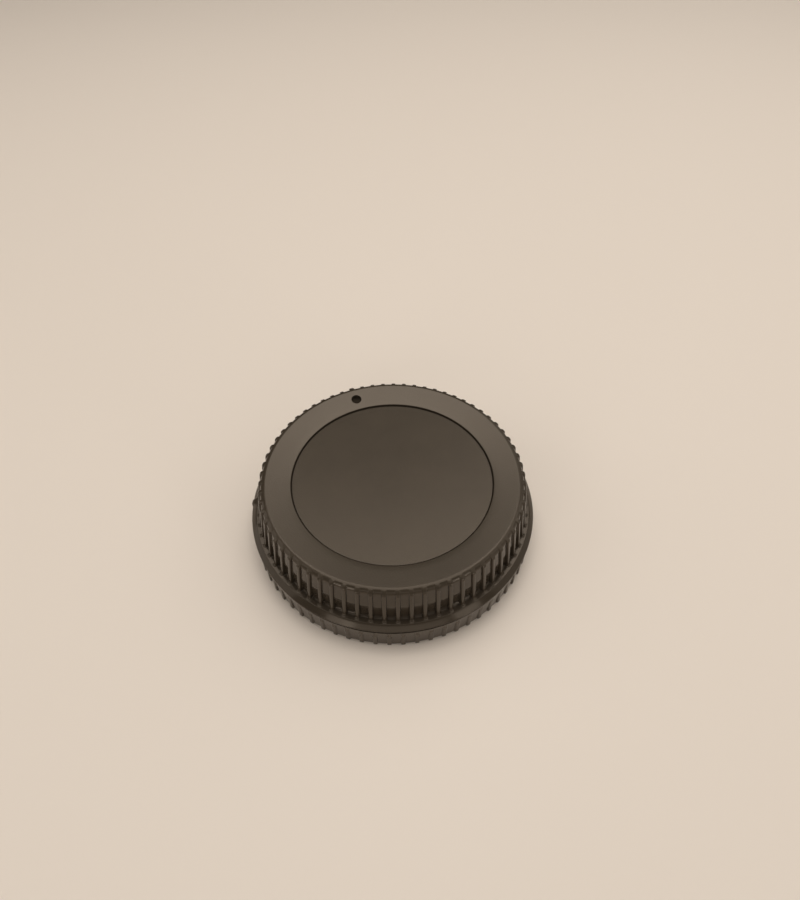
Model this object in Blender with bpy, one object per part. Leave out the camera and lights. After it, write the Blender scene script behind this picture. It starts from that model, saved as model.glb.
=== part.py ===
"""Two camera caps locked together mouth to mouth by their bayonet.

The body cap lies face down. Its collar stands up with three lugs that turn outward.
The rear lens cap sits over it with its face up. Three tabs in its mouth pass between
the lugs and lock under them after a part turn. Metres, +Z up, origin on the axis at
the level of the surface that the caps lie on.
"""

import math

import bmesh
import bpy
from mathutils import Matrix, Vector

MM = 0.001
WELD_DISTANCE = 0.0005 * MM

# Ribs round both caps
RIB_COUNT = 69
RIB_WIDTH = 1.0 * MM
RIB_ROOT = 0.35 * MM
FACETS = RIB_COUNT

# Rounding of a rib, as shares of its half width and of its height
RIB_SHOULDER_WIDTH = 0.72
RIB_SHOULDER_HEIGHT = 0.75
RIB_BEVEL = 0.6

# Azimuths, in degrees, counted from +X towards +Y
INDEX_AZIMUTH = 109.5
NUB_FROM_INDEX = 70.0
BODY_RIB_AZIMUTH = -87.0

# Clearance between the two caps wherever they pass or seat
CLEARANCE = 0.3 * MM

# Bayonet: the collar's radius drives every other radius
COLLAR_RADIUS = 22.8 * MM
COLLAR_WALL = 1.5 * MM
COLLAR_EDGE = 0.3 * MM
LUG_COUNT = 3
LUG_ARC = 50.0
LUG_REACH = 2.5 * MM
LUG_THICKNESS = 1.3 * MM
LUG_BELOW_COLLAR_TOP = 0.5 * MM
LUG_TO_WALL = 0.6 * MM
TAB_THICKNESS = 1.2 * MM
TAB_SETBACK = 0.15 * MM
STOP_SETBACK = 0.4 * MM
TWIST_ANGLE = 60.0
BLOCK_STEPS = 15

# Rear lens cap, the upper one
LENS_CAP_HEIGHT = 9.95 * MM
GRIP_WALL = 2.0 * MM
GRIP_DRAFT = 0.95 * MM
GRIP_FOOT_FILLET = 0.45 * MM
GRIP_TOP_EDGE = 1.15 * MM
GRIP_RIB_HEIGHT = 0.42 * MM
GRIP_RIB_FADE = ((36.0, 0.9), (66.0, 0.3))
FLANGE_WIDTH = 2.15 * MM
FLANGE_THICKNESS = 1.25 * MM
FLANGE_TOP_EDGE = 1.1 * MM
FLANGE_BOTTOM_EDGE = 0.1 * MM
TOP_THICKNESS = 1.9 * MM
FACE_WIDTH = 5.25 * MM
FACE_FALL = 1.0 * MM
PANEL_STEP = 0.4 * MM
PANEL_STEP_RUN = 0.12 * MM
PANEL_DISH = 0.25 * MM
PANEL_RINGS = 3

# Body cap, the lower one
RIM_SETBACK = 0.3 * MM
RIM_DRAFT = 0.2 * MM
RIM_HEIGHT = 5.9 * MM
RIM_WALL = 1.9 * MM
RIM_BOTTOM_EDGE = 0.35 * MM
RIM_TOP_EDGE = 0.25 * MM
RIM_RIB_HEIGHT = 0.4 * MM
RIM_RIB_BOTTOM = 0.2 * MM
RIM_RIB_TOP = 0.8 * MM
BASE_THICKNESS = 1.8 * MM
BASE_RING_WIDTH = 9.5 * MM
BASE_PANEL_DEPTH = 0.3 * MM
INNER_FILLET = 0.5 * MM

# Marks on the rear lens cap
INDEX_RIB_WIDTH = 1.25 * MM
INDEX_RIB_HEIGHT = 0.65 * MM
DIMPLE_DIAMETER = 2.35 * MM
DIMPLE_DEPTH = 0.8 * MM
DIMPLE_TO_FACE_EDGE = 2.5 * MM
DIMPLE_SIDES = 20
DIMPLE_SECTION = ((0.45, 1.0), (0.85, 0.8), (1.0, 0.45), (1.0, -1.0))
NUB_WIDTH = 1.9 * MM
NUB_PROUD = 0.3 * MM
NUB_SIDES = 6

# Plastic of both caps
PLASTIC_COLOUR = (0.046, 0.040, 0.033, 1.0)
PLASTIC_ROUGHNESS = 0.5

# Heights that follow from the sizes above
MOUTH_Z = RIM_HEIGHT + CLEARANCE
FLANGE_TOP_Z = MOUTH_Z + FLANGE_THICKNESS
CREST_Z = MOUTH_Z + LENS_CAP_HEIGHT
PANEL_EDGE_Z = CREST_Z - FACE_FALL
PANEL_Z = PANEL_EDGE_Z - PANEL_STEP
CEILING_Z = PANEL_Z - PANEL_DISH - TOP_THICKNESS
TAB_BOTTOM_Z = MOUTH_Z + TAB_SETBACK
TAB_TOP_Z = TAB_BOTTOM_Z + TAB_THICKNESS
LUG_BOTTOM_Z = TAB_TOP_Z + CLEARANCE
LUG_TOP_Z = LUG_BOTTOM_Z + LUG_THICKNESS
COLLAR_TOP_Z = LUG_TOP_Z + LUG_BELOW_COLLAR_TOP

# Radii that follow from the sizes above
LUG_RADIUS = COLLAR_RADIUS + LUG_REACH
TAB_RADIUS = COLLAR_RADIUS + CLEARANCE
MOUTH_RADIUS = LUG_RADIUS + LUG_TO_WALL
GRIP_TOP_RADIUS = MOUTH_RADIUS + GRIP_WALL
GRIP_FOOT_RADIUS = GRIP_TOP_RADIUS + GRIP_DRAFT
FLANGE_RADIUS = GRIP_FOOT_RADIUS + FLANGE_WIDTH
RIM_RADIUS = FLANGE_RADIUS - RIM_SETBACK
RIM_FOOT_RADIUS = RIM_RADIUS - RIM_DRAFT
FACE_EDGE_RADIUS = GRIP_TOP_RADIUS - GRIP_TOP_EDGE
PANEL_RADIUS = FACE_EDGE_RADIUS - FACE_WIDTH
DIMPLE_RADIUS = FACE_EDGE_RADIUS - DIMPLE_TO_FACE_EDGE
BASE_PANEL_RADIUS = RIM_FOOT_RADIUS - BASE_RING_WIDTH

LUG_PITCH = 360.0 / LUG_COUNT
CLEARANCE_ANGLE = math.degrees(CLEARANCE / COLLAR_RADIUS)


def clear_scene():
    for existing in list(bpy.context.scene.objects):
        bpy.data.objects.remove(existing, do_unlink=True)


def plastic(name):
    material = bpy.data.materials.new(name)
    material.use_nodes = True
    shader = material.node_tree.nodes["Principled BSDF"]
    shader.inputs["Base Color"].default_value = PLASTIC_COLOUR
    shader.inputs["Roughness"].default_value = PLASTIC_ROUGHNESS
    shader.inputs["Metallic"].default_value = 0.0
    return material


def add_object(name, mesh):
    made = bpy.data.objects.new(name, mesh)
    bpy.context.scene.collection.objects.link(made)
    return made


def on_arc(centre_r, centre_z, radius, degrees):
    """One point of an arc in the (radius, height) plane."""
    angle = math.radians(degrees)
    return (centre_r + radius * math.cos(angle), centre_z + radius * math.sin(angle))


def arc(centre_r, centre_z, radius, start, end, steps):
    """Points of an arc, both ends included."""
    angles = [start + (end - start) * step / steps for step in range(steps + 1)]
    return [on_arc(centre_r, centre_z, radius, degrees) for degrees in angles]


def turned_body(name, profile, start_azimuth):
    """A body of revolution from a profile that starts and ends on the axis."""
    shape = bmesh.new()
    turn = Matrix.Rotation(math.radians(start_azimuth), 4, "Z")
    verts = [shape.verts.new(turn @ Vector((r, 0.0, z))) for r, z in profile]
    edges = [shape.edges.new(pair) for pair in zip(verts, verts[1:])]
    bmesh.ops.spin(
        shape,
        geom=verts + edges,
        cent=(0.0, 0.0, 0.0),
        axis=(0.0, 0.0, 1.0),
        angle=math.tau,
        steps=FACETS,
        use_merge=True,
    )
    weld(shape)
    bmesh.ops.recalc_face_normals(shape, faces=shape.faces)
    mesh = bpy.data.meshes.new(name)
    shape.to_mesh(mesh)
    shape.free()
    return add_object(name, mesh)


def skin(shape, loops):
    """Closes a row of loops with equal vertex counts into one solid."""
    for lower, upper in zip(loops, loops[1:]):
        for index, vert in enumerate(lower):
            following = (index + 1) % len(lower)
            shape.faces.new((vert, lower[following], upper[following], upper[index]))
    shape.faces.new(list(reversed(loops[0])))
    shape.faces.new(loops[-1])


def finish_tool(name, shape):
    """Turns a bmesh into a hidden object that another object is cut or joined with."""
    bmesh.ops.recalc_face_normals(shape, faces=shape.faces)
    mesh = bpy.data.meshes.new(name)
    shape.to_mesh(mesh)
    shape.free()
    tool = add_object(name, mesh)
    tool.display_type = "WIRE"
    tool.hide_render = True
    return tool


def weld(shape):
    """Merges points that lie closer than any real detail."""
    bmesh.ops.remove_doubles(shape, verts=shape.verts, dist=WELD_DISTANCE)
    bmesh.ops.dissolve_degenerate(shape, dist=WELD_DISTANCE, edges=shape.edges)


def combine(target, tool, operation):
    """Applies one exact Boolean to the target and removes the tool."""
    modifier = target.modifiers.new(operation.title(), "BOOLEAN")
    modifier.operation = operation
    modifier.solver = "EXACT"
    modifier.object = tool
    evaluated = target.evaluated_get(bpy.context.evaluated_depsgraph_get())
    mesh = bpy.data.meshes.new_from_object(evaluated)
    shape = bmesh.new()
    shape.from_mesh(mesh)
    weld(shape)
    shape.to_mesh(mesh)
    shape.free()
    target.modifiers.clear()
    target.data = mesh
    bpy.data.objects.remove(tool, do_unlink=True)


def rib_outline(width, height):
    """Plan of a rib: sideways and outward offsets from the wall that it stands on."""
    half = width / 2
    return [
        (-half, -RIB_ROOT),
        (half, -RIB_ROOT),
        (half, 0.0),
        (half * RIB_SHOULDER_WIDTH, height * RIB_SHOULDER_HEIGHT),
        (0.0, height),
        (-half * RIB_SHOULDER_WIDTH, height * RIB_SHOULDER_HEIGHT),
        (-half, 0.0),
    ]


def add_rib(shape, azimuth, levels, width):
    """One rib through levels of (wall radius, height, how far it stands out)."""
    turn = Matrix.Rotation(math.radians(azimuth), 4, "Z")
    loops = []
    for wall_radius, z, proud in levels:
        outline = rib_outline(width, proud)
        points = [Vector((wall_radius + out, side, z)) for side, out in outline]
        loops.append([shape.verts.new(turn @ point) for point in points])
    skin(shape, loops)


def add_sector(shape, start, end, inner, outer, bottom, top):
    """A block between two radii and two azimuths."""
    loops = []
    for step in range(BLOCK_STEPS + 1):
        angle = start + (end - start) * step / BLOCK_STEPS
        turn = Matrix.Rotation(math.radians(angle), 4, "Z")
        corners = [(inner, bottom), (outer, bottom), (outer, top), (inner, top)]
        loops.append([shape.verts.new(turn @ Vector((r, 0.0, z))) for r, z in corners])
    skin(shape, loops)


def finish_body(body, material):
    body.data.materials.clear()
    body.data.materials.append(material)
    body.data.shade_smooth()
    body.data.set_sharp_from_angle(angle=math.radians(32.0))


def body_cap_profile():
    """From the floor inside the collar over collar, trough and rim to the outer face."""
    rim_inner = RIM_RADIUS - RIM_WALL
    collar_inner = COLLAR_RADIUS - COLLAR_WALL
    fillet_z = BASE_THICKNESS + INNER_FILLET
    return (
        [(0.0, BASE_THICKNESS), (collar_inner, BASE_THICKNESS)]
        + [(collar_inner, COLLAR_TOP_Z), (COLLAR_RADIUS - COLLAR_EDGE, COLLAR_TOP_Z)]
        + [(COLLAR_RADIUS, COLLAR_TOP_Z - COLLAR_EDGE)]
        + [(COLLAR_RADIUS, fillet_z), (COLLAR_RADIUS + INNER_FILLET, BASE_THICKNESS)]
        + [(rim_inner - INNER_FILLET, BASE_THICKNESS), (rim_inner, fillet_z)]
        + [(rim_inner, RIM_HEIGHT), (RIM_RADIUS - RIM_TOP_EDGE, RIM_HEIGHT)]
        + [(RIM_RADIUS, RIM_HEIGHT - RIM_TOP_EDGE)]
        + arc(RIM_FOOT_RADIUS - RIM_BOTTOM_EDGE, RIM_BOTTOM_EDGE, RIM_BOTTOM_EDGE, 0.0, -90.0, 2)
        + [(BASE_PANEL_RADIUS, 0.0), (BASE_PANEL_RADIUS - BASE_PANEL_DEPTH, BASE_PANEL_DEPTH)]
        + [(0.0, BASE_PANEL_DEPTH)]
    )


def rim_radius(z):
    """Radius of the flat lands between the ribs at a height on the drafted rim."""
    share = (z - RIM_BOTTOM_EDGE) / (RIM_HEIGHT - RIM_TOP_EDGE - RIM_BOTTOM_EDGE)
    return RIM_FOOT_RADIUS + RIM_DRAFT * share


def body_rib_levels():
    """An upright rib of the rim, with a sloped upper end; the draft makes it lower there."""
    tip_radius = RIM_FOOT_RADIUS + RIM_RIB_HEIGHT
    low_z = RIM_RIB_BOTTOM + RIM_RIB_HEIGHT / 2
    top_z = RIM_HEIGHT - RIM_RIB_TOP
    end_z = top_z + RIM_RIB_HEIGHT
    return [
        (RIM_FOOT_RADIUS, RIM_RIB_BOTTOM, RIM_RIB_HEIGHT * RIB_BEVEL),
        (rim_radius(low_z), low_z, tip_radius - rim_radius(low_z)),
        (rim_radius(top_z), top_z, tip_radius - rim_radius(top_z)),
        (rim_radius(end_z) - RIB_ROOT / 2, end_z, 0.0),
    ]


def make_body_cap():
    cap = turned_body("body_cap", body_cap_profile(), BODY_RIB_AZIMUTH)

    ribs = bmesh.new()
    for number in range(RIB_COUNT):
        add_rib(ribs, BODY_RIB_AZIMUTH + 360.0 * number / RIB_COUNT, body_rib_levels(), RIB_WIDTH)
    combine(cap, finish_tool("rim_ribs", ribs), "UNION")

    lugs = bmesh.new()
    lug_inner = COLLAR_RADIUS - COLLAR_WALL / 2
    for number in range(LUG_COUNT):
        middle = INDEX_AZIMUTH + LUG_PITCH * number
        start, end = middle - LUG_ARC / 2, middle + LUG_ARC / 2
        add_sector(lugs, start, end, lug_inner, LUG_RADIUS, LUG_BOTTOM_Z, LUG_TOP_Z)
    combine(cap, finish_tool("lugs", lugs), "UNION")
    return cap


def lens_cap_profile():
    """Dished panel, sloped face, drafted grip, flange, mouth and the inside."""
    panel = []
    for ring in range(PANEL_RINGS):
        share = ring / PANEL_RINGS
        panel.append((PANEL_RADIUS * share, PANEL_Z - PANEL_DISH * (1.0 - share * share)))
    panel_edge = [(PANEL_RADIUS - PANEL_STEP_RUN, PANEL_Z), (PANEL_RADIUS, PANEL_EDGE_Z)]
    grip_edge = arc(FACE_EDGE_RADIUS, CREST_Z - GRIP_TOP_EDGE, GRIP_TOP_EDGE, 84.0, 0.0, 4)
    foot = arc(
        GRIP_FOOT_RADIUS + GRIP_FOOT_FILLET,
        FLANGE_TOP_Z + GRIP_FOOT_FILLET,
        GRIP_FOOT_FILLET,
        180.0,
        270.0,
        2,
    )
    flange_edge = arc(
        FLANGE_RADIUS - FLANGE_TOP_EDGE,
        FLANGE_TOP_Z - FLANGE_TOP_EDGE,
        FLANGE_TOP_EDGE,
        90.0,
        0.0,
        3,
    )
    mouth = [
        (FLANGE_RADIUS, MOUTH_Z + FLANGE_BOTTOM_EDGE),
        (FLANGE_RADIUS - FLANGE_BOTTOM_EDGE, MOUTH_Z),
        (MOUTH_RADIUS, MOUTH_Z),
    ]
    inside = [
        (MOUTH_RADIUS, CEILING_Z - INNER_FILLET),
        (MOUTH_RADIUS - INNER_FILLET, CEILING_Z),
        (0.0, CEILING_Z),
    ]
    return panel + panel_edge + grip_edge + foot + flange_edge + mouth + inside


def grip_radius(z):
    """Radius of the flat lands between the ribs at a height on the grip."""
    low = FLANGE_TOP_Z + GRIP_FOOT_FILLET
    high = CREST_Z - GRIP_TOP_EDGE
    share = (z - low) / (high - low)
    return GRIP_FOOT_RADIUS + (GRIP_TOP_RADIUS - GRIP_FOOT_RADIUS) * share


def grip_rib_levels(height):
    """A rib from inside the flange up to where it dies out on the rounded top edge.

    The fade pairs an angle on that edge with the share of the rib's height left there.
    """
    foot_z = FLANGE_TOP_Z - FLANGE_TOP_EDGE
    shoulder_z = CREST_Z - GRIP_TOP_EDGE
    levels = [(grip_radius(foot_z), foot_z, height), (GRIP_TOP_RADIUS, shoulder_z, height)]
    for angle, share in GRIP_RIB_FADE:
        r, z = on_arc(FACE_EDGE_RADIUS, shoulder_z, GRIP_TOP_EDGE, angle)
        levels.append((r, z, height * share))
    return levels


def make_rear_lens_cap():
    cap = turned_body("rear_lens_cap", lens_cap_profile(), INDEX_AZIMUTH)

    ribs = bmesh.new()
    add_rib(ribs, INDEX_AZIMUTH, grip_rib_levels(INDEX_RIB_HEIGHT), INDEX_RIB_WIDTH)
    for number in range(1, RIB_COUNT):
        azimuth = INDEX_AZIMUTH + 360.0 * number / RIB_COUNT
        add_rib(ribs, azimuth, grip_rib_levels(GRIP_RIB_HEIGHT), RIB_WIDTH)
    combine(cap, finish_tool("grip_ribs", ribs), "UNION")

    wall_middle = MOUTH_RADIUS + GRIP_WALL / 2
    stop_start = LUG_ARC / 2 + CLEARANCE_ANGLE
    stop_end = LUG_PITCH - TWIST_ANGLE - LUG_ARC / 2 - CLEARANCE_ANGLE
    stop_radius = TAB_RADIUS + STOP_SETBACK
    stop_bottom = TAB_BOTTOM_Z + TAB_THICKNESS / 2
    for name, start, end, inner, bottom, top in (
        ("tabs", -LUG_ARC / 2, (stop_start + stop_end) / 2, TAB_RADIUS, TAB_BOTTOM_Z, TAB_TOP_Z),
        ("stops", stop_start, stop_end, stop_radius, stop_bottom, LUG_TOP_Z),
    ):
        blocks = bmesh.new()
        for number in range(LUG_COUNT):
            middle = INDEX_AZIMUTH + LUG_PITCH * number
            add_sector(blocks, middle + start, middle + end, inner, wall_middle, bottom, top)
        combine(cap, finish_tool(name, blocks), "UNION")

    combine(cap, dimple_cutter(), "DIFFERENCE")
    combine(cap, flange_nub(), "UNION")
    return cap


def dimple_cutter():
    """A short round cutter with a domed end, for the index mark in the face.

    Its section pairs a share of the radius with a share of the depth below the face.
    """
    share = (DIMPLE_RADIUS - PANEL_RADIUS) / (FACE_EDGE_RADIUS - PANEL_RADIUS)
    face_z = PANEL_EDGE_Z + FACE_FALL * share
    radius = DIMPLE_DIAMETER / 2
    levels = [(radius * reach, face_z - DIMPLE_DEPTH * depth) for reach, depth in DIMPLE_SECTION]
    turn = Matrix.Rotation(math.radians(INDEX_AZIMUTH), 4, "Z")
    shape = bmesh.new()
    loops = []
    for level_radius, z in levels:
        loop = []
        for side in range(DIMPLE_SIDES):
            angle = math.tau * side / DIMPLE_SIDES
            point = Vector((DIMPLE_RADIUS + level_radius * math.cos(angle), level_radius * math.sin(angle), z))
            loop.append(shape.verts.new(turn @ point))
        loops.append(loop)
    skin(shape, loops)
    return finish_tool("dimple", shape)


def flange_nub():
    """A small half-round nub on the flange's edge."""
    turn = Matrix.Rotation(math.radians(INDEX_AZIMUTH + NUB_FROM_INDEX), 4, "Z")
    shape = bmesh.new()
    loops = []
    for z in (MOUTH_Z + FLANGE_BOTTOM_EDGE, FLANGE_TOP_Z - FLANGE_TOP_EDGE / 2):
        outline = [(-NUB_PROUD, -NUB_WIDTH / 2), (-NUB_PROUD, NUB_WIDTH / 2)]
        for side in range(NUB_SIDES + 1):
            angle = math.pi * side / NUB_SIDES
            outline.append((NUB_PROUD * math.sin(angle), NUB_WIDTH / 2 * math.cos(angle)))
        points = [Vector((FLANGE_RADIUS + out, along, z)) for out, along in outline]
        loops.append([shape.verts.new(turn @ point) for point in points])
    skin(shape, loops)
    return finish_tool("nub", shape)


def main():
    clear_scene()
    body_cap = make_body_cap()
    rear_lens_cap = make_rear_lens_cap()
    finish_body(body_cap, plastic("body_cap_plastic"))
    finish_body(rear_lens_cap, plastic("rear_lens_cap_plastic"))


main()
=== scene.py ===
"""Looks of two camera caps locked mouth to mouth: a rear lens cap on top of a body cap."""

import math

import bmesh
import bpy
from mathutils import Matrix, Vector


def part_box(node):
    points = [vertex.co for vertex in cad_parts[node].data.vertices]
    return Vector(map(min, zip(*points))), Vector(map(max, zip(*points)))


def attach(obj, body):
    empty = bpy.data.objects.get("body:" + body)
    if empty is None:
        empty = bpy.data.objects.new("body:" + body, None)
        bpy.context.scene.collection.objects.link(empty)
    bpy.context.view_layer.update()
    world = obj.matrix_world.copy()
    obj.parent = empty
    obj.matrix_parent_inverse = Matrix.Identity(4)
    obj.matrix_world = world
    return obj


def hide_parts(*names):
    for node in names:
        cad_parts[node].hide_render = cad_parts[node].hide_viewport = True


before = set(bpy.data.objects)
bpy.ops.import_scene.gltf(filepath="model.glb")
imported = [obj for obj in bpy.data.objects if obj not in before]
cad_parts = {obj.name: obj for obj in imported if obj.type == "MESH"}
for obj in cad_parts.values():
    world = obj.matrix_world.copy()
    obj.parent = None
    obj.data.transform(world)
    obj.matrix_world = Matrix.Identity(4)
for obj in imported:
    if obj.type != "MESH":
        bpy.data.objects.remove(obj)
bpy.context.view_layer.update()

MM = 0.001

# Ribs, in millimetres and degrees. RIB_SECTION holds the mesh's columns beside a rib's middle line;
# the crown and the flanks are shares of half a rib's width
RIB_COUNT = 69
RIB_PITCH = 360.0 / RIB_COUNT
INDEX_AZIMUTH = 109.5
NUB_AZIMUTH = 179.5
BODY_RIB_AZIMUTH = -87.0
RIB_SECTION = (0.0, 0.16, 0.3, 0.385, 0.41, 0.44, 0.475, 0.51, 0.66)
RIB_CROWN_FALL = 0.22
RIB_CROWN_REACH = 0.84
RIB_FLANK_START = 0.8
RIB_FLANK_END = 1.02

# Rear lens cap, in millimetres
FLANGE_THICKNESS = 1.25
FLANGE_TOP_EDGE = 1.1
FLANGE_BOTTOM_EDGE = 0.1
FLANGE_LIP = 0.22
FLANGE_BEVEL_ANGLE = 45.0
FLANGE_FLAT_END = 0.05
BEVEL_EASE = 0.06
BEVEL_EASE_FALL = 0.04
LIP_ANGLES = (34.0, 22.0, 11.0, 0.0)
BOTTOM_ANGLES = (0.0, -30.0, -60.0, -90.0)
GRIP_TOP_RADIUS = 27.9
GRIP_FOOT_RADIUS = 28.85
GRIP_LAND_RADIUS = 28.36
GRIP_FOOT_FILLET = 0.45
GRIP_TOP_EDGE = 1.15
TOP_EDGE_ANGLES = (84.0, 76.0, 68.0, 60.0, 51.0, 42.0, 33.0, 24.0, 16.0, 8.0, 0.0)
GRIP_WALL_SHARES = (0.02, 0.25, 0.44, 0.485, 0.53, 0.75, 0.97, 1.0)
GRIP_FOOT_ANGLE = 190.0
GRIP_RIB_WIDTH = 1.0
GRIP_RIB_HEIGHT = 0.42
GRIP_RIB_WHOLE = 24.0
GRIP_RIB_GONE = 72.0
GRIP_WALL = 2.0
TOP_THICKNESS = 1.9
FACE_FALL = 1.0
FACE_SHARES = (0.3, 0.6, 0.88, 0.985, 1.0)
FACE_END_ANGLE = 92.0
PANEL_RADIUS = 21.5
PANEL_STEP = 0.4
PANEL_STEP_RUN = 0.12
CREASE_WIDTH = 0.16
CREASE_DEPTH = 0.12
CREASE_FLANK = 0.03
PANEL_LIP = 0.12
PANEL_LIP_EASE = 0.04
PANEL_DISH = 0.25
PANEL_SHARES = (0.1, 0.25, 0.4, 0.55, 0.7, 0.84, 0.94, 0.98, 0.995, 1.0)
INDEX_RIB_WIDTH = 1.25
INDEX_RIB_HEIGHT = 0.65
DIMPLE_RADIUS = 24.25
DIMPLE_DIAMETER = 2.35
DIMPLE_DEPTH = 0.8
DIMPLE_SIDES = 48
DIMPLE_REACHES = (0.4, 0.66, 0.83, 0.94, 0.99, 1.0, 1.0)
DIMPLE_DEPTHS = (1.0, 0.95, 0.84, 0.66, 0.45, 0.3, -1.0)
NUB_WIDTH = 1.9
NUB_PROUD = 0.3
NUB_ROOT = 0.3
NUB_GONE = -90.0
NUB_WHOLE = -10.0
INNER_FILLET = 0.5

# Bayonet, in millimetres and degrees. STEP_RISE tilts each step in the mouth, so that no two points
# of a section meet, and BLOCK_END_RUN is half the angle that the end face of a block takes
TAB_COUNT = 3
TAB_ARC = 50.0
TAB_RADIUS = 23.1
TAB_SETBACK = 0.15
TAB_THICKNESS = 1.2
TAB_END = 30.0
STOP_START = 25.75
STOP_END = 34.25
STOP_SETBACK = 0.4
LUG_RADIUS = 25.3
LUG_THICKNESS = 1.3
LUG_CLEARANCE = 0.3
STEP_RISE = 0.01
BLOCK_END_RUN = 0.01

# Body cap, in millimetres
RIM_RADIUS = 30.7
RIM_FOOT_RADIUS = 30.5
RIM_WALL = 1.9
RIM_BOTTOM_EDGE = 0.35
RIM_TOP_EDGE = 0.1
RIM_INNER_EDGE = 0.1
RIM_LOW_RING = 0.3
RIM_LEDGE_FALL = 0.7
RIM_LEDGE_DEPTH = 0.5
RIM_RIB_WIDTH = 1.0
RIM_RIB_HEIGHT = 0.33
RIM_RIB_TOP = 0.12
RIM_RIB_FADE = 1.6
RIM_FADE_SHARES = (0.0, 0.17, 0.33, 0.5, 0.67, 0.83, 1.0)
RIM_RIB_GONE = -80.0
RIM_RIB_WHOLE = -10.0
RIM_FOOT_ANGLES = (-15.0, -30.0, -45.0, -60.0, -75.0, -90.0)
# SHADOW_BAND: height of the rim's top band under the flange that takes the painted shade, standing for the
# flange's shadow
SHADOW_BAND = 0.73
BASE_THICKNESS = 1.8
BASE_PANEL_RADIUS = 21.0
BASE_PANEL_DEPTH = 0.3
COLLAR_RADIUS = 22.8
COLLAR_WALL = 1.5
COLLAR_EDGE = 0.3
COLLAR_FOOT_FILLET = 0.2

# Plastics: colour, roughness, reflectance, depth of the grain in metres and scale of the grain
# The walls' and the rim's colour is the black plastic's own, raised above the face's so that their shaded
# lower parts come out lighter: partly painted fill light
WALL_PLASTIC = ((0.044, 0.034, 0.024), 0.14, 0.32, 0.000003, 2500.0)
RIM_PLASTIC = ((0.044, 0.034, 0.024), 0.14, 0.5, 0.000003, 2500.0)
FACE_PLASTIC = ((0.026, 0.019, 0.011), 0.33, 0.72, 0.00003, 3500.0)
PANEL_PLASTIC = ((0.030, 0.022, 0.013), 0.22, 0.43, 0.00002, 3500.0)
# The last plastic is painted shade: darker, rougher and dimmer, for the panel's crease and the step up to
# the face, the inside of the dimple and the rim's band under the flange
PAINTED_SHADE_PLASTIC = ((0.02, 0.015, 0.01), 0.8, 0.2, 0.00001, 4500.0)
REFLECTION_TINT = (1.0, 0.86, 0.72, 1.0)
PATCH_SCALE = 90.0
TONE_SWING = 0.07
GLOSS_SWING = 0.04
SHARP_ANGLE = 50.0

# Material slots of both pieces, the last of them painted shade, and the margins in millimetres that part
# them
WALLS, FACE, PANEL, PAINTED_SHADE = range(4)
KIND_MARGIN = 0.01
PANEL_MARGIN = 0.05
FACE_MARGIN = 0.06

# Camera, in metres and millimetres of lens
CAMERA_PLACE = Vector((0.0, -0.08381, 0.12237))
CAMERA_AIM_RIGHT = 0.01285
CAMERA_AIM_UP = 0.1049
CAMERA_ROLL = -1.0536
LENS_MM = 25.6
SENSOR_MM = 36.0

# Floor: reach in metres from the middle to each edge, and the pale sheet's finish
FLOOR_REACH = 0.9
FLOOR_COLOUR = (0.79, 0.705, 0.62, 1.0)
FLOOR_ROUGHNESS = 0.6

# World: level of the fill, and the backdrop's colour
WORLD_LEVEL = 0.02
BACKDROP_COLOUR = (0.73, 0.62, 0.51, 1.0)

# Lamps, in metres and watts: name, azimuth, elevation, size, power
LIGHT_COLOUR = (1.0, 0.95, 0.89)
LAMP_DISTANCE = 0.7
SOFT = (0.6, 0.6)
LAMPS = (
    ("overhead_lamp", 90.0, 79.0, SOFT, 2.45),
    ("back_lamp", 90.0, 58.0, SOFT, 0.8),
    ("back_right_lamp", 45.0, 40.0, SOFT, 0.65),
    ("left_lamp", 180.0, 50.0, SOFT, 0.55),
    ("left_low_lamp", 180.0, 20.0, SOFT, 0.95),
    ("right_lamp", 0.0, 50.0, SOFT, 0.6),
    ("right_low_lamp", 0.0, 20.0, SOFT, 0.5),
    ("front_left_lamp", -124.0, 22.0, (0.2, 0.2), 0.25),
    ("front_right_lamp", -44.0, 23.0, (0.2, 0.2), 0.25),
    ("front_left_low_lamp", -122.0, 8.0, (0.14, 0.08), 0.3),
    ("front_right_low_lamp", -46.0, 8.0, (0.14, 0.08), 0.3),
    ("front_low_lamp", -90.0, 24.0, (0.8, 0.2), 0.5),
)


def smoothstep(low, high, value):
    """A soft step from 0 at low to 1 at high."""
    share = min(max((value - low) / (high - low), 0.0), 1.0)
    return share * share * (3.0 - 2.0 * share)


def on_arc(centre_r, centre_z, radius, degrees):
    """The point of a section's arc at an angle, 0 outward and 90 up."""
    angle = math.radians(degrees)
    return (centre_r + radius * math.cos(angle), centre_z + radius * math.sin(angle))


def arc(centre_r, centre_z, radius, start, end, steps):
    """Points of a section's arc from one angle to another, both ends included."""
    turn = (end - start) / steps
    return [on_arc(centre_r, centre_z, radius, start + turn * step) for step in range(steps + 1)]


def line(start, end, steps):
    """Points from start to end, without the start itself."""
    (r0, z0), (r1, z1) = start, end
    shares = [step / steps for step in range(1, steps + 1)]
    return [(r0 + (r1 - r0) * share, z0 + (z1 - z0) * share) for share in shares]


def wrapped(degrees):
    """An angle brought between -180 and 180."""
    return (degrees + 180.0) % 360.0 - 180.0


def rib_proud(azimuth, first_rib, radius, width, height):
    """How far a rounded rib stands out at an azimuth, with a soft root."""
    nearest = round((azimuth - first_rib) / RIB_PITCH) * RIB_PITCH + first_rib
    side = abs(math.radians(azimuth - nearest)) * radius / (width / 2)
    crown = 1.0 - RIB_CROWN_FALL * min(side / RIB_CROWN_REACH, 1.0) ** 4
    return height * crown * (1.0 - smoothstep(RIB_FLANK_START, RIB_FLANK_END, side))


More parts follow.
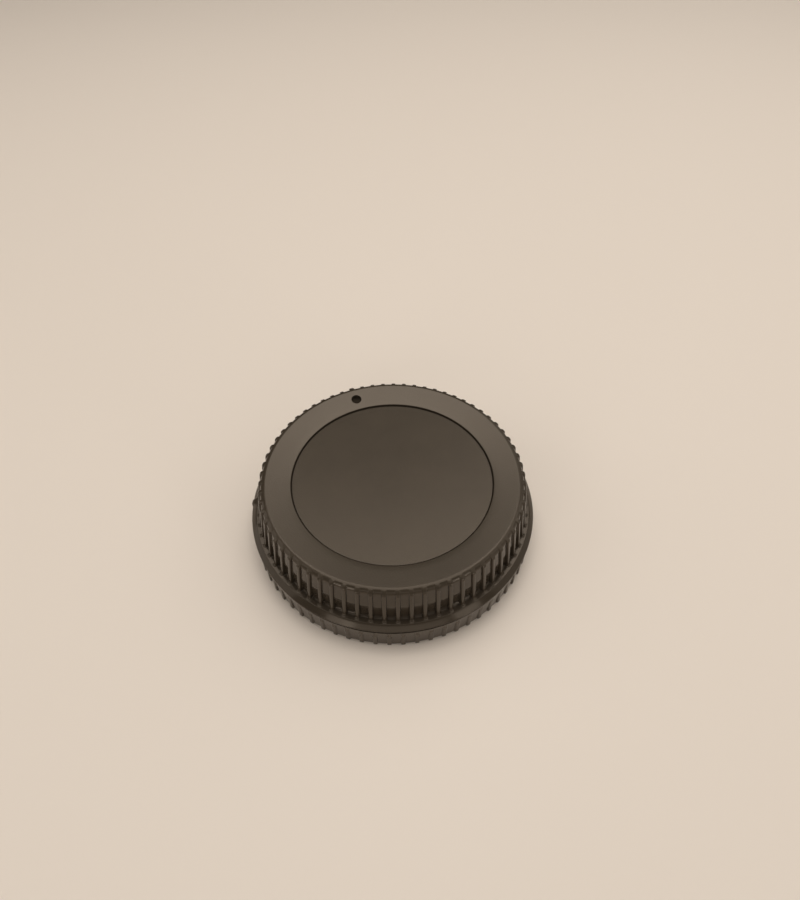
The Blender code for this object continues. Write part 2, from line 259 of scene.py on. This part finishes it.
def rib_columns(first_rib, radius, block_ends):
    """Azimuths of the mesh's columns, close together on the rib flanks and at the ends of blocks."""
    azimuths = []
    for number in range(RIB_COUNT):
        centre = first_rib + RIB_PITCH * number
        for offset in RIB_SECTION:
            step = math.degrees(offset / radius)
            azimuths.append(centre + step)
            if offset:
                azimuths.append(centre - step)
        azimuths.append(centre + RIB_PITCH / 2)
    pairs = []
    for number in range(TAB_COUNT):
        for end in block_ends:
            place = INDEX_AZIMUTH + 360.0 / TAB_COUNT * number + end
            pairs += [place - BLOCK_END_RUN, place + BLOCK_END_RUN]
    kept = []
    for azimuth in azimuths:
        if min(abs(wrapped(azimuth - place)) for place in pairs) > 2 * BLOCK_END_RUN:
            kept.append(azimuth)
    start = min(kept)
    return sorted(kept + [start + (place - start) % 360.0 for place in pairs])


def swept_body(name, azimuths, section):
    """A closed body from one section at each azimuth; each section starts and ends on the axis."""
    shape = bmesh.new()
    sections = [section(azimuth) for azimuth in azimuths]
    first = shape.verts.new((0.0, 0.0, sections[0][0][1] * MM))
    last = shape.verts.new((0.0, 0.0, sections[0][-1][1] * MM))
    columns = []
    for azimuth, points in zip(azimuths, sections):
        turn = Matrix.Rotation(math.radians(azimuth), 4, "Z")
        inner = [shape.verts.new(turn @ Vector((r * MM, 0.0, z * MM))) for r, z in points[1:-1]]
        columns.append([first] + inner + [last])
    for here, there in zip(columns, columns[1:] + columns[:1]):
        shape.faces.new((first, here[1], there[1]))
        for index in range(1, len(here) - 2):
            shape.faces.new((here[index], here[index + 1], there[index + 1], there[index]))
        shape.faces.new((here[-2], last, there[-2]))
    bmesh.ops.recalc_face_normals(shape, faces=shape.faces)
    mesh = bpy.data.meshes.new(name)
    shape.to_mesh(mesh)
    shape.free()
    made = bpy.data.objects.new(name, mesh)
    bpy.context.scene.collection.objects.link(made)
    return made


# Heights that the boxes of the CAD parts give
lens_low, lens_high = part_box("rear_lens_cap")
body_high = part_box("body_cap")[1]
MOUTH_Z = lens_low.z / MM
CREST_Z = lens_high.z / MM
RIM_HEIGHT = MOUTH_Z - LUG_CLEARANCE
COLLAR_TOP_Z = body_high.z / MM
FLANGE_RADIUS = lens_high.y / MM
FLANGE_TOP_Z = MOUTH_Z + FLANGE_THICKNESS
SHOULDER_Z = CREST_Z - GRIP_TOP_EDGE
FACE_EDGE_RADIUS = GRIP_TOP_RADIUS - GRIP_TOP_EDGE
PANEL_EDGE_Z = CREST_Z - FACE_FALL
PANEL_Z = PANEL_EDGE_Z - PANEL_STEP
CEILING_Z = PANEL_Z - PANEL_DISH - TOP_THICKNESS
TAB_BOTTOM_Z = MOUTH_Z + TAB_SETBACK
TAB_TOP_Z = TAB_BOTTOM_Z + TAB_THICKNESS
LUG_BOTTOM_Z = TAB_TOP_Z + LUG_CLEARANCE
LUG_TOP_Z = LUG_BOTTOM_Z + LUG_THICKNESS
MOUTH_RADIUS = GRIP_TOP_RADIUS - GRIP_WALL
RIM_LEDGE_Z = RIM_HEIGHT - RIM_LEDGE_FALL


def rib_share(degrees):
    """How much of a grip rib stands at an angle of the rounded top edge."""
    return 1.0 - smoothstep(GRIP_RIB_WHOLE, GRIP_RIB_GONE, degrees)


def grip_section(azimuth):
    """The ribbed grip from the face's edge down to the flange; its lands stand upright at the foot."""
    index = abs(wrapped(azimuth - INDEX_AZIMUTH)) < RIB_PITCH / 2
    width = INDEX_RIB_WIDTH if index else GRIP_RIB_WIDTH
    height = INDEX_RIB_HEIGHT if index else GRIP_RIB_HEIGHT
    proud = rib_proud(azimuth, INDEX_AZIMUTH, GRIP_TOP_RADIUS, width, height)
    points = []
    for degrees in TOP_EDGE_ANGLES:
        r, z = on_arc(FACE_EDGE_RADIUS, SHOULDER_Z, GRIP_TOP_EDGE, degrees)
        points.append((r + proud * rib_share(degrees), z))
    foot_z = FLANGE_TOP_Z + GRIP_FOOT_FILLET
    on_rib = proud / height
    for share in GRIP_WALL_SHARES:
        slope_r = GRIP_TOP_RADIUS + (GRIP_FOOT_RADIUS - GRIP_TOP_RADIUS) * share
        land_r = min(slope_r, GRIP_LAND_RADIUS)
        r = land_r + (slope_r - land_r) * on_rib + proud
        points.append((r, SHOULDER_Z + (foot_z - SHOULDER_Z) * share))
    beyond_land = (GRIP_FOOT_RADIUS - GRIP_LAND_RADIUS) * on_rib + min(proud, GRIP_RIB_HEIGHT)
    fillet_r = GRIP_LAND_RADIUS + GRIP_FOOT_FILLET
    for r, z in arc(fillet_r, foot_z, GRIP_FOOT_FILLET, GRIP_FOOT_ANGLE, 270.0, 6):
        points.append((r + beyond_land, z))
    return points


def tab_or_wall(azimuth):
    """Mouth, tab or stop block, and the wall up to the ceiling."""
    third = 360.0 / TAB_COUNT
    from_tab = (azimuth - INDEX_AZIMUTH + third / 2) % third - third / 2
    on_tab = -TAB_ARC / 2 <= from_tab <= TAB_END
    tab_radius = TAB_RADIUS if on_tab else MOUTH_RADIUS
    stop_radius = TAB_RADIUS + STOP_SETBACK if STOP_START <= from_tab <= STOP_END else MOUTH_RADIUS
    shelf_z = TAB_TOP_Z if on_tab else TAB_BOTTOM_Z + TAB_THICKNESS / 2
    return [
        (MOUTH_RADIUS, MOUTH_Z),
        (MOUTH_RADIUS, TAB_BOTTOM_Z),
        (tab_radius, TAB_BOTTOM_Z + STEP_RISE),
        (tab_radius, shelf_z),
        (stop_radius, shelf_z + STEP_RISE),
        (stop_radius, LUG_TOP_Z),
        (MOUTH_RADIUS, LUG_TOP_Z + STEP_RISE),
    ]


def panel_and_face():
    """Dished panel, the crease at its edge, the step up to the sloped face, and that face."""
    edge = PANEL_RADIUS - PANEL_STEP_RUN
    crease = edge - CREASE_WIDTH
    crease_z = PANEL_Z - CREASE_DEPTH
    face_start = PANEL_RADIUS + PANEL_LIP
    points = [(0.0, PANEL_Z - PANEL_DISH)]
    for share in PANEL_SHARES:
        points.append((crease * share, PANEL_Z - PANEL_DISH * (1.0 - share * share)))
    points += [(crease + CREASE_FLANK, crease_z), (edge - CREASE_FLANK, crease_z)]
    points += [(edge, PANEL_Z), (PANEL_RADIUS - PANEL_LIP_EASE, PANEL_EDGE_Z - PANEL_LIP)]
    points += [(PANEL_RADIUS, PANEL_EDGE_Z - PANEL_LIP_EASE), (face_start, PANEL_EDGE_Z)]
    end_r, end_z = on_arc(FACE_EDGE_RADIUS, SHOULDER_Z, GRIP_TOP_EDGE, FACE_END_ANGLE)
    for share in FACE_SHARES:
        r = face_start + (end_r - PANEL_RADIUS - PANEL_LIP) * share
        points.append((r, PANEL_EDGE_Z + (end_z - PANEL_EDGE_Z) * share))
    return points


def flange_section(azimuth):
    """Flange top, its bevel and lip with the nub, and the lower edge."""
    nub_side = abs(math.radians(wrapped(azimuth - NUB_AZIMUTH))) * FLANGE_RADIUS / (NUB_WIDTH / 2)
    nub = NUB_PROUD * math.sqrt(1.0 - nub_side ** 2) if nub_side < 1.0 else 0.0
    bevel_start = FLANGE_RADIUS - FLANGE_TOP_EDGE
    lip = (FLANGE_RADIUS - FLANGE_LIP, FLANGE_TOP_Z - FLANGE_TOP_EDGE, FLANGE_LIP)
    bevel = [(bevel_start + BEVEL_EASE, FLANGE_TOP_Z - BEVEL_EASE_FALL)]
    bevel += line(bevel[0], on_arc(*lip, FLANGE_BEVEL_ANGLE), 3)
    points = [(bevel_start - FLANGE_FLAT_END, FLANGE_TOP_Z), (bevel_start, FLANGE_TOP_Z)]
    points += [(r + nub * smoothstep(bevel_start, FLANGE_RADIUS - NUB_ROOT, r), z) for r, z in bevel]
    for degrees in LIP_ANGLES:
        r, z = on_arc(*lip, degrees)
        points.append((r + nub, z))
    bottom_edge = (FLANGE_RADIUS - FLANGE_BOTTOM_EDGE, MOUTH_Z + FLANGE_BOTTOM_EDGE, FLANGE_BOTTOM_EDGE)
    for degrees in BOTTOM_ANGLES:
        r, z = on_arc(*bottom_edge, degrees)
        points.append((r + nub * smoothstep(NUB_GONE, NUB_WHOLE, degrees), z))
    return points


def lens_cap_section(azimuth):
    """Panel, face, grip, flange, mouth and the inside."""
    points = panel_and_face() + grip_section(azimuth) + flange_section(azimuth) + tab_or_wall(azimuth)
    points += arc(MOUTH_RADIUS - INNER_FILLET, CEILING_Z - INNER_FILLET, INNER_FILLET, 0.0, 90.0, 4)
    points += [(MOUTH_RADIUS * 0.5, CEILING_Z), (0.0, CEILING_Z)]
    return points


def rim_section(azimuth):
    """Rim from the ledge under the flange down to the outer face, with ribs that fade in from the top."""
    proud = rib_proud(azimuth, BODY_RIB_AZIMUTH, RIM_RADIUS, RIM_RIB_WIDTH, RIM_RIB_HEIGHT)
    wall_low, wall_high = RIM_BOTTOM_EDGE, RIM_LEDGE_Z - RIM_TOP_EDGE
    points = [(RIM_RADIUS - RIM_LEDGE_DEPTH, RIM_HEIGHT), (RIM_RADIUS - RIM_LEDGE_DEPTH, RIM_LEDGE_Z)]
    points += arc(RIM_RADIUS - RIM_TOP_EDGE, RIM_LEDGE_Z - RIM_TOP_EDGE, RIM_TOP_EDGE, 90.0, 0.0, 3)
    fade_top = RIM_LEDGE_Z - RIM_RIB_TOP
    fade_end = fade_top - RIM_RIB_FADE
    heights = [fade_top - RIM_RIB_FADE * share for share in RIM_FADE_SHARES]
    heights += [fade_end * 0.66, fade_end * 0.33, RIM_BOTTOM_EDGE + RIM_LOW_RING, RIM_BOTTOM_EDGE]
    for z in heights:
        draft = (RIM_RADIUS - RIM_FOOT_RADIUS) * (z - wall_low) / (wall_high - wall_low)
        tip = max(0.0, proud - draft * proud / RIM_RIB_HEIGHT)
        points.append((RIM_FOOT_RADIUS + draft + tip * (1.0 - smoothstep(fade_end, fade_top, z)), z))
    for degrees in RIM_FOOT_ANGLES:
        r, z = on_arc(RIM_FOOT_RADIUS - RIM_BOTTOM_EDGE, RIM_BOTTOM_EDGE, RIM_BOTTOM_EDGE, degrees)
        points.append((r + proud * smoothstep(RIM_RIB_GONE, RIM_RIB_WHOLE, degrees), z))
    return points


def body_cap_section(azimuth):
    """Floor inside the collar, collar with its lugs, trough, rim and outer face."""
    third = 360.0 / TAB_COUNT
    from_lug = (azimuth - INDEX_AZIMUTH + third / 2) % third - third / 2
    lug_radius = LUG_RADIUS if abs(from_lug) <= TAB_ARC / 2 else COLLAR_RADIUS
    collar_inner = COLLAR_RADIUS - COLLAR_WALL
    collar_edge_z = COLLAR_TOP_Z - COLLAR_EDGE
    foot, trough_z = COLLAR_FOOT_FILLET, BASE_THICKNESS + INNER_FILLET
    points = [(0.0, BASE_THICKNESS), (collar_inner * 0.5, BASE_THICKNESS)]
    points += arc(collar_inner - foot, BASE_THICKNESS + foot, foot, -90.0, 0.0, 3)
    points += arc(collar_inner + COLLAR_EDGE, collar_edge_z, COLLAR_EDGE, 180.0, 90.0, 3)
    points += arc(COLLAR_RADIUS - COLLAR_EDGE, collar_edge_z, COLLAR_EDGE, 90.0, 0.0, 3)
    points += [(COLLAR_RADIUS, LUG_TOP_Z), (lug_radius, LUG_TOP_Z)]
    points += [(lug_radius, LUG_BOTTOM_Z), (COLLAR_RADIUS, LUG_BOTTOM_Z)]
    points += arc(COLLAR_RADIUS + INNER_FILLET, trough_z, INNER_FILLET, 180.0, 270.0, 4)
    rim_inner = RIM_RADIUS - RIM_WALL
    points += arc(rim_inner - INNER_FILLET, trough_z, INNER_FILLET, -90.0, 0.0, 4)
    points += [(rim_inner, RIM_HEIGHT - RIM_INNER_EDGE), (rim_inner + RIM_INNER_EDGE, RIM_HEIGHT)]
    points += rim_section(azimuth)
    points += [(BASE_PANEL_RADIUS, 0.0), (BASE_PANEL_RADIUS - BASE_PANEL_DEPTH, BASE_PANEL_DEPTH)]
    points += [(BASE_PANEL_RADIUS * 0.5, BASE_PANEL_DEPTH), (0.0, BASE_PANEL_DEPTH)]
    return points


def cut_dimple(cap):
    """The round index mark in the face, cut by an exact Boolean."""
    share = (DIMPLE_RADIUS - PANEL_RADIUS) / (FACE_EDGE_RADIUS - PANEL_RADIUS)
    face_z = PANEL_EDGE_Z + FACE_FALL * share
    angle = math.radians(INDEX_AZIMUTH)
    centre = Vector((DIMPLE_RADIUS * math.cos(angle), DIMPLE_RADIUS * math.sin(angle), face_z))
    shape = bmesh.new()
    rings = []
    for reach, depth in zip(DIMPLE_REACHES, DIMPLE_DEPTHS):
        ring = []
        for side in range(DIMPLE_SIDES):
            turn = math.tau * side / DIMPLE_SIDES
            across = Vector((math.cos(turn), math.sin(turn), 0.0)) * (DIMPLE_DIAMETER / 2 * reach)
            ring.append(shape.verts.new((centre + across - Vector((0.0, 0.0, DIMPLE_DEPTH * depth))) * MM))
        rings.append(ring)
    shape.faces.new(rings[0])
    shape.faces.new(rings[-1])
    for low, high in zip(rings, rings[1:]):
        for side in range(DIMPLE_SIDES):
            after = (side + 1) % DIMPLE_SIDES
            shape.faces.new((low[side], low[after], high[after], high[side]))
    bmesh.ops.recalc_face_normals(shape, faces=shape.faces)
    mesh = bpy.data.meshes.new("dimple_cutter")
    shape.to_mesh(mesh)
    shape.free()
    cutter = bpy.data.objects.new("dimple_cutter", mesh)
    bpy.context.scene.collection.objects.link(cutter)
    modifier = cap.modifiers.new("Dimple", "BOOLEAN")
    modifier.operation = "DIFFERENCE"
    modifier.solver = "EXACT"
    modifier.object = cutter
    evaluated = cap.evaluated_get(bpy.context.evaluated_depsgraph_get())
    cap_mesh = bpy.data.meshes.new_from_object(evaluated)
    cap.modifiers.clear()
    cap.data = cap_mesh
    bpy.data.objects.remove(cutter, do_unlink=True)


class Nodes:
    """A short way to write a material's node tree."""

    def __init__(self, material):
        material.use_nodes = True
        self.tree = material.node_tree
        self.shader = self.tree.nodes["Principled BSDF"]

    def add(self, kind, **values):
        node = self.tree.nodes.new(kind)
        for name, value in values.items():
            if name in node.inputs:
                node.inputs[name].default_value = value
            else:
                setattr(node, name, value)
        return node

    def link(self, start, end):
        self.tree.links.new(start, end)


def plastic(name, colour, roughness, reflectance, grain_depth, grain_scale):
    """Moulded plastic: soft patches in the tone and the gloss, and a fine eroded grain."""
    material = bpy.data.materials.new(name)
    nodes = Nodes(material)
    place = nodes.add("ShaderNodeTexCoord").outputs["Object"]

    patches = nodes.add("ShaderNodeTexNoise", Scale=PATCH_SCALE, Detail=3.0, Roughness=0.6)
    nodes.link(place, patches.inputs["Vector"])
    tone = nodes.add("ShaderNodeValToRGB")
    tone.color_ramp.elements[0].position = 0.3
    tone.color_ramp.elements[1].position = 0.7
    tone.color_ramp.elements[0].color = [channel * (1.0 - TONE_SWING) for channel in colour] + [1.0]
    tone.color_ramp.elements[1].color = [channel * (1.0 + TONE_SWING) for channel in colour] + [1.0]
    nodes.link(patches.outputs["Fac"], tone.inputs["Fac"])
    nodes.link(tone.outputs["Color"], nodes.shader.inputs["Base Color"])

    gloss = nodes.add("ShaderNodeMapRange")
    gloss.inputs["To Min"].default_value = roughness - GLOSS_SWING
    gloss.inputs["To Max"].default_value = roughness + GLOSS_SWING
    nodes.link(patches.outputs["Fac"], gloss.inputs["Value"])
    nodes.link(gloss.outputs["Result"], nodes.shader.inputs["Roughness"])

    grain = nodes.add("ShaderNodeTexNoise", Scale=grain_scale, Detail=2.0, Roughness=0.7)
    nodes.link(place, grain.inputs["Vector"])
    bump = nodes.add("ShaderNodeBump", Strength=1.0, Distance=grain_depth)
    nodes.link(grain.outputs["Fac"], bump.inputs["Height"])
    nodes.link(bump.outputs["Normal"], nodes.shader.inputs["Normal"])
    nodes.shader.inputs["IOR"].default_value = 1.5
    nodes.shader.inputs["Specular IOR Level"].default_value = reflectance
    nodes.shader.inputs["Specular Tint"].default_value = REFLECTION_TINT
    return material


def floor_material():
    """Plain pale sheet with a hardly visible paper grain."""
    material = bpy.data.materials.new("pale_sheet")
    nodes = Nodes(material)
    place = nodes.add("ShaderNodeTexCoord").outputs["Object"]
    fibres = nodes.add("ShaderNodeTexNoise", Scale=900.0, Detail=3.0)
    nodes.link(place, fibres.inputs["Vector"])
    bump = nodes.add("ShaderNodeBump", Strength=0.05, Distance=0.0001)
    nodes.link(fibres.outputs["Fac"], bump.inputs["Height"])
    nodes.link(bump.outputs["Normal"], nodes.shader.inputs["Normal"])
    nodes.shader.inputs["Base Color"].default_value = FLOOR_COLOUR
    nodes.shader.inputs["Roughness"].default_value = FLOOR_ROUGHNESS
    return material


def surface_kind(centre):
    """Which material slot a face of either piece takes, by the place of its centre."""
    radius = math.hypot(centre.x, centre.y) / MM
    height = centre.z / MM
    on_rim = radius > RIM_RADIUS - RIM_WALL / 2
    # Painted shade: the rim's band under the flange is darkened where the flange's shadow falls
    if on_rim and RIM_HEIGHT - SHADOW_BAND < height < RIM_HEIGHT + KIND_MARGIN:
        return PAINTED_SHADE
    if height < PANEL_Z - PANEL_DISH - PANEL_MARGIN or radius > FACE_EDGE_RADIUS:
        return WALLS
    if radius < PANEL_RADIUS - PANEL_STEP_RUN - CREASE_WIDTH:
        return PANEL
    # Painted shade: the crease, the step up to the face and the inside of the dimple take the darker
    # plastic
    face_z = PANEL_EDGE_Z + FACE_FALL * (radius - PANEL_RADIUS) / (FACE_EDGE_RADIUS - PANEL_RADIUS)
    return FACE if height > face_z - FACE_MARGIN else PAINTED_SHADE


def make_pieces():
    """Both caps as finely meshed bodies that stand for the CAD solids."""
    wall = plastic("wall_plastic", *WALL_PLASTIC)
    rim = plastic("rim_plastic", *RIM_PLASTIC)
    face = plastic("face_plastic", *FACE_PLASTIC)
    panel = plastic("panel_plastic", *PANEL_PLASTIC)
    # The crease material paints shade into the crease, the step, the dimple and the rim's band
    crease = plastic("painted_shade_plastic", *PAINTED_SHADE_PLASTIC)
    tab_ends = (-TAB_ARC / 2, STOP_START, TAB_END, STOP_END)
    lug_ends = (-TAB_ARC / 2, TAB_ARC / 2)
    lens_columns = rib_columns(INDEX_AZIMUTH, GRIP_TOP_RADIUS, tab_ends)
    body_columns = rib_columns(BODY_RIB_AZIMUTH, RIM_RADIUS, lug_ends)
    lens_cap = swept_body("rear_lens_cap_fine", lens_columns, lens_cap_section)
    cut_dimple(lens_cap)
    body_cap = swept_body("body_cap_fine", body_columns, body_cap_section)
    for piece, walls, node, body, slot in (
        (lens_cap, wall, "rear_lens_cap", "upper_cap", "lens_cap_plastic"),
        (body_cap, rim, "body_cap", "root", "body_cap_plastic"),
    ):
        piece.data.materials.clear()
        for material in (walls, face, panel, crease):
            piece.data.materials.append(material)
        for polygon in piece.data.polygons:
            polygon.material_index = surface_kind(polygon.center)
        piece.data.shade_smooth()
        piece.data.set_sharp_from_angle(angle=math.radians(SHARP_ANGLE))
        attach(piece, body)
        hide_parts(node)


def make_floor():
    """The pale sheet that the caps lie on."""
    shape = bmesh.new()
    bmesh.ops.create_grid(shape, x_segments=1, y_segments=1, size=FLOOR_REACH)
    mesh = bpy.data.meshes.new("floor")
    shape.to_mesh(mesh)
    shape.free()
    floor = bpy.data.objects.new("floor", mesh)
    bpy.context.scene.collection.objects.link(floor)
    floor.data.materials.append(floor_material())


def make_world():
    """A faint even fill, seen by the camera as a pale backdrop."""
    world = bpy.data.worlds.new("soft_room")
    bpy.context.scene.world = world
    world.use_nodes = True
    tree = world.node_tree
    fill = tree.nodes["Background"]
    fill.inputs["Color"].default_value = LIGHT_COLOUR + (1.0,)
    fill.inputs["Strength"].default_value = WORLD_LEVEL
    backdrop = tree.nodes.new("ShaderNodeBackground")
    backdrop.inputs["Color"].default_value = BACKDROP_COLOUR
    backdrop.inputs["Strength"].default_value = 1.0
    rays = tree.nodes.new("ShaderNodeLightPath")
    mix = tree.nodes.new("ShaderNodeMixShader")
    tree.links.new(rays.outputs["Is Camera Ray"], mix.inputs[0])
    tree.links.new(fill.outputs["Background"], mix.inputs[1])
    tree.links.new(backdrop.outputs["Background"], mix.inputs[2])
    tree.links.new(mix.outputs["Shader"], tree.nodes["World Output"].inputs["Surface"])


def area_lamp(name, azimuth, elevation, size, power):
    """A soft lamp that points at the caps."""
    across = LAMP_DISTANCE * math.cos(math.radians(elevation))
    height = LAMP_DISTANCE * math.sin(math.radians(elevation))
    turn = math.radians(azimuth)
    place = (across * math.cos(turn), across * math.sin(turn), height)
    data = bpy.data.lights.new(name, "AREA")
    data.shape = "RECTANGLE"
    data.size = size[0]
    data.size_y = size[1]
    data.energy = power
    data.color = LIGHT_COLOUR
    lamp = bpy.data.objects.new(name, data)
    lamp.location = place
    lamp.rotation_euler = (-Vector(place)).to_track_quat("-Z", "Y").to_euler()
    bpy.context.scene.collection.objects.link(lamp)


def make_camera():
    """A camera aimed at the origin, then turned aside, up and about its own axis."""
    data = bpy.data.cameras.new("camera")
    data.sensor_fit = "AUTO"
    data.sensor_width = SENSOR_MM
    data.lens = LENS_MM
    data.clip_start = 0.001
    ahead = -CAMERA_PLACE.normalized()
    right = Vector((1.0, 0.0, 0.0))
    up = right.cross(ahead)
    ahead = (ahead + right * CAMERA_AIM_RIGHT + up * CAMERA_AIM_UP).normalized()
    right = (right - ahead * right.dot(ahead)).normalized()
    up = right.cross(ahead)
    roll = math.radians(CAMERA_ROLL)
    across = right * math.cos(roll) + up * math.sin(roll)
    upward = up * math.cos(roll) - right * math.sin(roll)
    camera = bpy.data.objects.new("camera", data)
    turn = Matrix((across, upward, -ahead)).transposed().to_4x4()
    camera.matrix_world = Matrix.Translation(CAMERA_PLACE) @ turn
    bpy.context.scene.collection.objects.link(camera)
    bpy.context.scene.camera = camera


bpy.context.scene.view_settings.view_transform = "Standard"
make_pieces()
make_floor()
make_world()
for lamp in LAMPS:
    area_lamp(*lamp)
make_camera()
